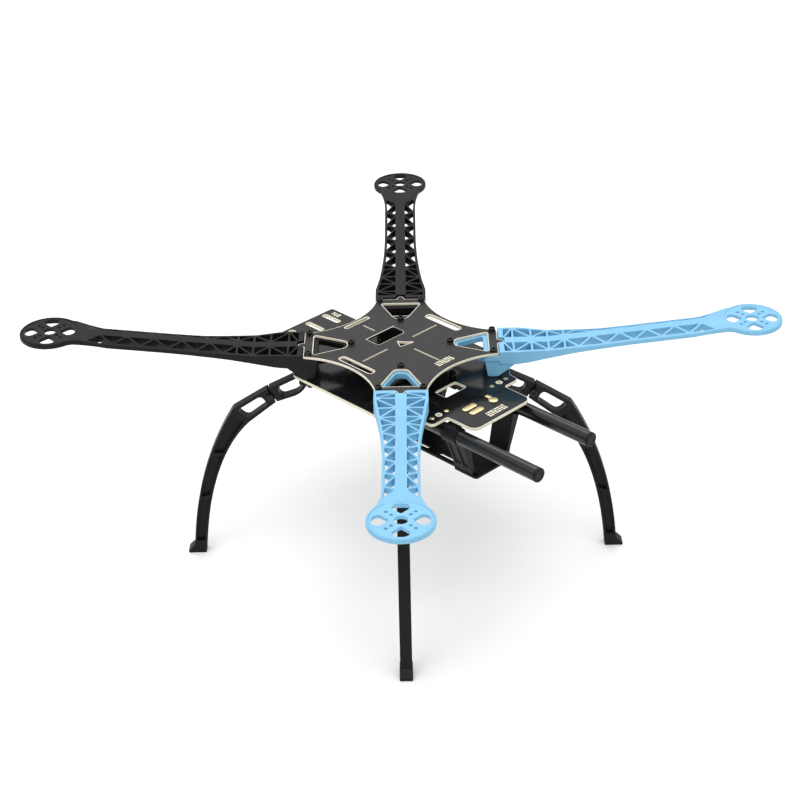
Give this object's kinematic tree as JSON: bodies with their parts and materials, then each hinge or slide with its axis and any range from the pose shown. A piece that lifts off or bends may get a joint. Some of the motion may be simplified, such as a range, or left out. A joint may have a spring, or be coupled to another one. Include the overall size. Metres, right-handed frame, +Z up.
{
  "type": "quadcopter airframe",
  "caption": "Open multirotor airframe: moulded truss arms between circuit-board plates, curved landing legs, and a battery tray hung on sliding rails.",
  "frame": {"origin": "on the ground, under the centre of the plates", "axes": "+Z up, +X forward along the rails, +Y to the left; the arms lie on the diagonals"},
  "size_m": [0.3802, 0.3802, 0.183],
  "materials": {
    "blue_nylon": "satin moulded glass-filled nylon, sky blue",
    "black_nylon": "satin moulded glass-filled nylon, black",
    "top_laminate": "matte black solder mask on glass-fibre laminate, bare cream edges",
    "board_laminate": "glossy black solder mask on glass-fibre laminate, gold pads and bare cream edges",
    "rail_tube": "satin wound carbon-fibre tube",
    "black_steel": "black oxide steel"
  },
  "bodies": {
    "frame": {"top_plate": "top_laminate", "bottom_board": "board_laminate", "arm_front_left": "blue_nylon", "leg_bracket_front_left": "black_nylon", "leg_front_left": "black_nylon", "leg_bolt_front_left": "black_steel", "plate_screw_front_left_inner": "black_steel", "plate_screw_front_left_outer_a": "black_steel", "plate_screw_front_left_outer_b": "black_steel", "leg_screw_front_left_a": "black_steel", "leg_screw_front_left_b": "black_steel", "arm_rear_left": "black_nylon", "leg_bracket_rear_left": "black_nylon", "leg_rear_left": "black_nylon", "leg_bolt_rear_left": "black_steel", "plate_screw_rear_left_inner": "black_steel", "plate_screw_rear_left_outer_a": "black_steel", "plate_screw_rear_left_outer_b": "black_steel", "leg_screw_rear_left_a": "black_steel", "leg_screw_rear_left_b": "black_steel", "arm_rear_right": "black_nylon", "leg_bracket_rear_right": "black_nylon", "leg_rear_right": "black_nylon", "leg_bolt_rear_right": "black_steel", "plate_screw_rear_right_inner": "black_steel", "plate_screw_rear_right_outer_a": "black_steel", "plate_screw_rear_right_outer_b": "black_steel", "leg_screw_rear_right_a": "black_steel", "leg_screw_rear_right_b": "black_steel", "arm_front_right": "blue_nylon", "leg_bracket_front_right": "black_nylon", "leg_front_right": "black_nylon", "leg_bolt_front_right": "black_steel", "plate_screw_front_right_inner": "black_steel", "plate_screw_front_right_outer_a": "black_steel", "plate_screw_front_right_outer_b": "black_steel", "leg_screw_front_right_a": "black_steel", "leg_screw_front_right_b": "black_steel", "rail_hanger_left_front": "black_nylon", "hanger_screw_left_front": "black_steel", "rail_hanger_left_rear": "black_nylon", "hanger_screw_left_rear": "black_steel", "rail_hanger_right_front": "black_nylon", "hanger_screw_right_front": "black_steel", "rail_hanger_right_rear": "black_nylon", "hanger_screw_right_rear": "black_steel"},
    "left_rail": {"left_rail": "rail_tube", "left_rail_plug_front": "black_nylon", "left_rail_plug_rear": "black_nylon"},
    "right_rail": {"right_rail": "rail_tube", "right_rail_plug_front": "black_nylon", "right_rail_plug_rear": "black_nylon"},
    "tray": {"battery_tray": "black_nylon", "tray_clip_left_front": "black_nylon", "tray_clip_left_rear": "black_nylon", "tray_clip_right_front": "black_nylon", "tray_clip_right_rear": "black_nylon"}
  },
  "joints": [
    {"name": "left_rail_slide", "type": "slide", "parent": "frame", "child": "left_rail", "axis": [1, 0, 0], "range_m": [-0.06, 0.025]},
    {"name": "right_rail_slide", "type": "slide", "parent": "frame", "child": "right_rail", "axis": [1, 0, 0], "range_m": [-0.06, 0.025]},
    {"name": "tray_slide", "type": "slide", "parent": "frame", "child": "tray", "axis": [1, 0, 0], "range_m": [-0.01, 0.0075]}
  ]
}
